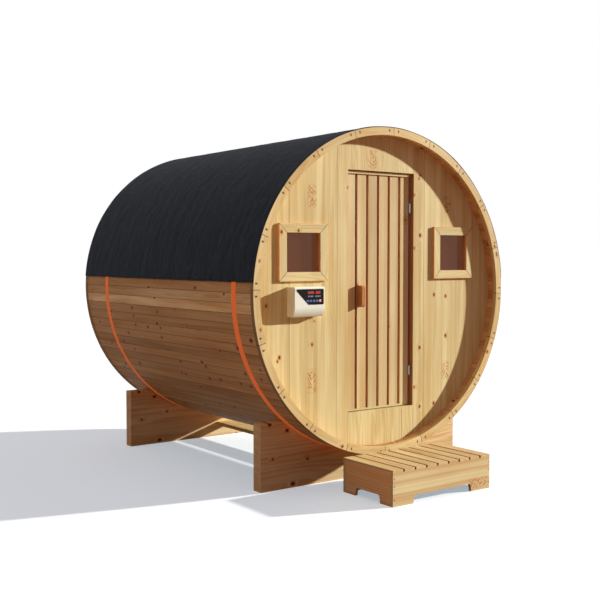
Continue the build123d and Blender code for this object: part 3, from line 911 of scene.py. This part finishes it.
felt_deep = (0.0072, 0.0102, 0.0138, 1.0)
felt_pale = (0.0262, 0.0345, 0.0470, 1.0)
felt = Finish("felt", Specular_IOR_Level=0.14)
grit = felt.grain(900.0, 2.0)
patches = felt.noise(felt.x * 6.0, felt.y * 3.0, felt.z * 6.0, 0.0, 3.0)
felt_turn = felt.maths("ARCTAN2", felt.x, felt.z - barrel_axis)
felt_drift = (felt.noise(felt_turn * 4.0, felt.y * 4.0, 0.0, 2.0, 2.0) - 0.5) * 0.22
round_way = felt.noise(felt_turn * 7.0, (felt.y + felt_drift) * 28.0, 0.0, 0.0, 3.0)
long_way = felt.noise((felt_turn + felt.y * 0.35 + felt_drift * 1.3) * 24.0, felt.y * 5.0, 0.0, 4.0, 3.0)
near_top = felt.smooth(1.1, 0.5, abs(felt_turn)) * 0.75
creases = round_way + (long_way - round_way) * near_top
broken = felt.smooth(0.44, 0.58, felt.noise(felt_turn * 6.0, felt.y * 10.0, 0.0, 6.0))
ridge = felt.smooth(0.035, 0.0, abs(creases - 0.5)) * broken
# The creases and ridges also darken and lighten the felt's colour: painted shade in the folds and painted
# highlights on the ridges.
felt_share = grit * 0.4 + patches * 0.4 + (creases - 0.5) * 1.5 + ridge * 0.6 - 0.05
felt.surface(Base_Color=felt.mix(felt_share, felt_deep, felt_pale), Roughness=grit * 0.2 + 0.72,
             Normal=felt.bump(grit * 0.1 + creases + ridge * 0.3, 0.9, 0.008))
felt_sheet.data.materials.append(felt.material)
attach(felt_sheet, "cabin")
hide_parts("roof_felt")


def nail_mesh(name, radius, rise):
    """A clout nail's flat round head, facing +Z, slightly domed."""
    sides = range(10)
    outlines = [(radius, -0.4 * rise), (radius, 0.4 * rise), (0.7 * radius, rise)]
    angles = [math.tau * number / len(sides) for number in sides]
    rings = [[(size * math.cos(angle), size * math.sin(angle), z) for angle in angles]
             for size, z in outlines]
    return lofted(name, rings, [(0, sides), (-1, sides)])


nail_zinc = Finish("nail_zinc", Metallic=0.8)
dull = nail_zinc.grain(300.0, 3.0)
nail_zinc.surface(Base_Color=nail_zinc.mix(dull, shade(60, 58, 56), shade(30, 29, 28)),
                  Roughness=dull * 0.25 + 0.4)
nail_head = hidden_pattern(nail_mesh("nail_head", radius=0.006, rise=0.0014))
nails_tree = heads_tree("nails", nail_head, nail_zinc)
nail_above_edge = 0.0175
nail_sunk = 0.0014
nail_places = (-0.920, -0.272, 0.234, 0.740, 1.175)
nail_turn = felt_end - nail_above_edge / felt_outer
felt_nails = []
for side in (-1.0, 1.0):
    way = Vector((side * math.sin(nail_turn), 0.0, math.cos(nail_turn)))
    for along in nail_places:
        felt_nails.append((way * (felt_outer - nail_sunk) + Vector((0.0, along, barrel_axis)), way))
grown("felt_nails", points_mesh("felt_nails", felt_nails), nails_tree, "cabin", Size=1.0)


# Straps
# Two bands of orange woven polyester webbing, pulled tight round the staves beside each cradle. The
# ribs run along the band, the picks across it.

rib_wave = 2100.0
pick_wave = 2600.0
# The webbing also glows a little in its own orange: painted light that keeps it bright in shade.
strap_web = Finish("strap_web", Sheen_Weight=0.2, Emission_Strength=0.28)
strap_turn = strap_web.maths("ARCTAN2", strap_web.z - barrel_axis, strap_web.x)
ribs = strap_web.maths("SINE", strap_web.y * rib_wave)
picks = strap_web.maths("SINE", strap_turn * pick_wave)
weave = ribs * picks * 0.5 + 0.5
fade = strap_web.noise(strap_turn * 4.0, strap_web.y * 8.0, 0.0, 0.0, 2.0)
strap_colour = strap_web.mix(weave * 0.5 + fade * 0.5, shade(246, 122, 42), shade(226, 98, 30))
strap_web.surface(Base_Color=strap_colour, Emission_Color=strap_colour,
                  Roughness=weave * 0.2 + 0.65, Normal=strap_web.bump(weave, 0.5, 0.0006))
dress(strap_web, "strap_front", "strap_rear")


# Step
# A loose box step of bare pine: four boards on edge with low cut-outs at the ground, and nine slats
# screwed on top. The slats' edges in the gaps are darkened with painted shade.

slat_total = 9
step_gap = 0.010
step_low, step_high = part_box("step_slats")
step_pitch = (step_high.x - step_low.x + step_gap) / slat_total
step_middle = (step_low.x + step_high.x) / 2
step_half = (step_high.x - step_low.x) / 2
outer_rim = 0.008

step_top_pine = pine("step_top_pine")
slat, slat_across = cells(step_top_pine, step_top_pine.x, step_low.x - step_gap / 2, step_pitch)
slat_board = slat + 400.0
slat_knots = strewn_knots(step_top_pine, step_top_pine.y, step_top_pine.x, slat_board, 0.15)
# Near the gaps the slats' edges are darkened: painted shade between the slats.
slat_edge = step_pitch / 2 - abs(slat_across)
gap_edge_shade = step_top_pine.smooth(step_gap / 2 + 0.0036, step_gap / 2 + 0.0020, slat_edge)
between = abs(step_top_pine.x - step_middle) < step_half - outer_rim
wood(step_top_pine, step_top_pine.y, step_top_pine.x, step_top_pine.z, slat_board, shade(226, 203, 150),
     shade(198, 156, 100), slat_knots, contrast=0.5, board_tint=0.05, ring_pitch=0.008, sway=0.4,
     dark=gap_edge_shade * between * 0.85, dirt=shade(138, 66, 36))
dress(step_top_pine, "step_slats")
# The front board's top, which shows between the slats, is darkened with painted shade.
step_front_pine = level_boards("step_front_pine", "x", "z", "y", shade(233, 219, 168), shade(207, 168, 111),
                               board_width=0.5, share=0.0, contrast=0.5, ring_pitch=0.0115, sway=0.10,
                               banding=0.7, crown_places=[(0.045, 0.300, 0.10, 1.0)],
                               dark_above=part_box("step_front_board")[1].z - 0.0006,
                               dirt=shade(120, 66, 38))
dress(step_front_pine, "step_front_board", "step_back_board")
# The side boards are a warmer, brighter pine than the front: painted bounce light for the shaded side.
step_side_pine = level_boards("step_side_pine", "y", "z", "x", shade(252, 218, 160), shade(226, 166, 102),
                              board_width=0.5, share=0.0, contrast=0.5, ring_pitch=0.0115, sway=0.15,
                              banding=0.9)
dress(step_side_pine, "step_left_board", "step_right_board")

step_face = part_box("step_front_board")[0].y
step_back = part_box("step_back_board")[1].y
screw_levels = (0.165, 0.120, 0.040)
screw_inset = 0.010
step_screws = []
for x in (step_low.x + screw_inset, step_high.x - screw_inset):
    for z in screw_levels:
        step_screws.append(((x, step_face + screw_sunk, z), (0.0, -1.0, 0.0)))
        step_screws.append(((x, step_back - screw_sunk, z), (0.0, 1.0, 0.0)))
grown("step_screws", points_mesh("step_screws", step_screws), screws_tree, "cabin", Size=1.0)


# Light, ground and camera
# A low sun from the right, a soft sky, and plain pale ground that keeps the shadow. The sun is parted in
# two, and the pieces that it strikes squarely get the screened one, so that they keep their colour.

sun_way = Vector((-2.75, 1.0, -0.85))
sunlit_names = ("staves_odd", "staves_even", "strap_front", "strap_rear", "ring_back", "step_right_board")
sunlit_side = [nodes[name] for name in sunlit_names] + [felt_sheet]


def add_sun(name, energy, state):
    """A sun that lights only the pieces of the sunlit side, or only the others."""
    data = bpy.data.lights.new(name, "SUN")
    data.energy = energy
    data.angle = math.radians(1.5)
    data.color = (0.97, 0.99, 0.96)
    lamp = add_object(name, data)
    lamp.rotation_euler = sun_way.to_track_quat("-Z", "Y").to_euler()
    pieces = bpy.data.collections.new(name + "_pieces")
    for piece in sunlit_side:
        pieces.objects.link(piece)
    for entry in pieces.collection_objects:
        entry.light_linking.link_state = state
    lamp.light_linking.receiver_collection = pieces


add_sun("sun", 6.9, "EXCLUDE")
add_sun("screened_sun", 4.0, "INCLUDE")


class Sky(Finish):
    """The world's nodes."""

    def __init__(self, world):
        self.tree = world.node_tree
        self.tree.nodes.clear()


def seen_rays(finish):
    """1 for what the camera sees, straight or through glass or a mirror, and 0 for light on a surface."""
    path = finish.node("LightPath", out="Is Camera Ray")
    straight = finish.maths("MAXIMUM", path, path.beside("Is Glossy Ray"))
    return finish.maths("MAXIMUM", straight, path.beside("Is Transmission Ray"))


world = bpy.data.worlds.new("sky")
bpy.context.scene.world = world
world.use_nodes = True
sky = Sky(world)
sky_x, sky_y, sky_z = sky.node("TexCoord", out="Generated").split()
sky_level = sky.node("MapRange", sockets={"Value": sky_z})
sky_back = sky.smooth(0.2, 0.9, sky_y)
sky_front = sky.smooth(0.1, 0.7, abs(sky_y + 0.1))
sky_colour = sky.mix(sky_level, (0.205, 0.115, 0.092, 1.0), (0.42, 0.44, 0.48, 1.0))
sky_colour = sky.mix(sky_front, sky_colour, (1.04, 0.71, 0.65, 1.0), "MULTIPLY")
sky_strength = sky_x * -0.25 + sky_back * 0.45 + 0.95
sky_light = sky.node("Background", sockets={"Color": sky_colour, "Strength": sky_strength})
white = sky.node("Background", sockets={"Color": (1.0, 1.0, 1.0, 1.0), "Strength": 1.0})
either = sky.node("MixShader", sockets={0: seen_rays(sky), 1: sky_light, 2: white})
sky.node("OutputWorld", sockets={"Surface": either}, out=None)

ground_reach = 60.0
ground_corners = [(x * ground_reach, y * ground_reach, 0.0) for x, y in ((-1, -1), (1, -1), (1, 1), (-1, 1))]
ground_mesh = bpy.data.meshes.new("ground")
ground_mesh.from_pydata(ground_corners, [], [(0, 1, 2, 3)])
ground = add_object("ground", ground_mesh)
paper = Finish("paper", Roughness=0.9)
paper_grain = paper.noise(paper.x, paper.y, 0.0)
paper_tone = paper.mix(paper_grain, (0.205, 0.112, 0.070, 1.0), (0.215, 0.120, 0.078, 1.0))
paper_front = paper.smooth(-0.9, -2.4, paper.y)
paper.surface(Base_Color=paper.mix(paper_front, paper_tone, (0.225, 0.088, 0.056, 1.0)))
lit = paper.node("Emission", sockets={"Color": (0.75, 0.90, 0.98, 1.0), "Strength": 0.444})
matt = paper.node("BsdfDiffuse", sockets={"Color": (0.76, 0.76, 0.76, 1.0)})
seen_ground = paper.node("AddShader", sockets={0: lit, 1: matt})
chosen = paper.node("MixShader", sockets={0: seen_rays(paper), 1: paper.shader, 2: seen_ground})
paper.put(paper.output.inputs["Surface"], chosen)
ground_mesh.materials.append(paper.material)

camera_data = bpy.data.cameras.new("camera")
camera_data.lens = 57.21
camera_data.sensor_width = 36.0
camera = add_object("camera", camera_data)
camera.location = (-4.084, -5.549, 1.4655)
camera.rotation_euler = (math.radians(87.365), 0.0, math.radians(-36.176))
bpy.context.scene.camera = camera
bpy.context.scene.view_settings.view_transform = "Standard"
